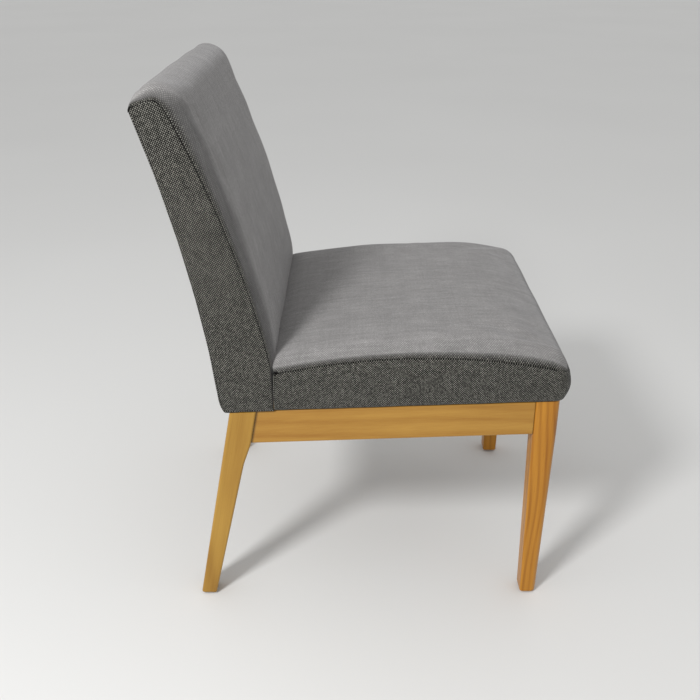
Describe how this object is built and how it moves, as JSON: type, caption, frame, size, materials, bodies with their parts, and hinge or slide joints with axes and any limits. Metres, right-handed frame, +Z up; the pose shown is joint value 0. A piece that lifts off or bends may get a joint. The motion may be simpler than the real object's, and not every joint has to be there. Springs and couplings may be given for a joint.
{
  "type": "upholstered guest chair",
  "caption": "Armless guest chair with a crowned box seat, a curved padded back in grey woven fabric and a light lacquered timber base with raked rear legs.",
  "frame": {"origin": "floor level, under the middle of the chair's bounding box", "axes": "+X to the sitter's left, -Y to the front, +Z up"},
  "size_m": [0.492, 0.6282, 0.8381],
  "materials": {
    "lacquered_timber": "satin clear lacquer",
    "plain_timber": "sawn, unfinished",
    "plywood": "unfinished",
    "hardboard": "smooth",
    "fastener_steel": "zinc plated",
    "glide_nylon": "moulded",
    "foam": "open cell foam",
    "seat_fabric": "two-tone woven",
    "back_fabric": "two-tone woven",
    "dust_cloth": "spunbonded",
    "webbing": "woven elastic strap"
  },
  "bodies": {
    "root": {"front_leg_left": "lacquered_timber", "front_leg_right": "lacquered_timber", "rear_leg_left": "lacquered_timber", "rear_leg_right": "lacquered_timber", "side_rail_left": "lacquered_timber", "side_rail_right": "lacquered_timber", "front_rail": "lacquered_timber", "rear_rail": "lacquered_timber", "corner_block_front_left": "plain_timber", "corner_block_front_right": "plain_timber", "corner_block_rear_left": "plain_timber", "corner_block_rear_right": "plain_timber", "rail_dowels": "plain_timber", "corner_block_screws": "fastener_steel", "base_bolts": "fastener_steel", "base_washers": "fastener_steel", "tee_nuts": "fastener_steel", "foot_glides": "glide_nylon", "seat_board": "plywood", "dust_cover": "dust_cloth", "seat_foam": "foam", "seat_boxing": "seat_fabric", "seat_cover_top": "seat_fabric", "back_post_left": "plain_timber", "back_post_right": "plain_timber", "back_bottom_rail": "plain_timber", "back_middle_rail": "plain_timber", "back_top_rail": "plain_timber", "back_webbing": "webbing", "back_rear_panel": "hardboard", "back_bracket_left": "fastener_steel", "back_bracket_right": "fastener_steel", "bracket_screws": "fastener_steel", "back_foam": "foam", "back_gusset_left": "back_fabric", "back_gusset_right": "back_fabric", "back_cover_front": "back_fabric", "back_cover_rear": "back_fabric"}
  },
  "joints": []
}
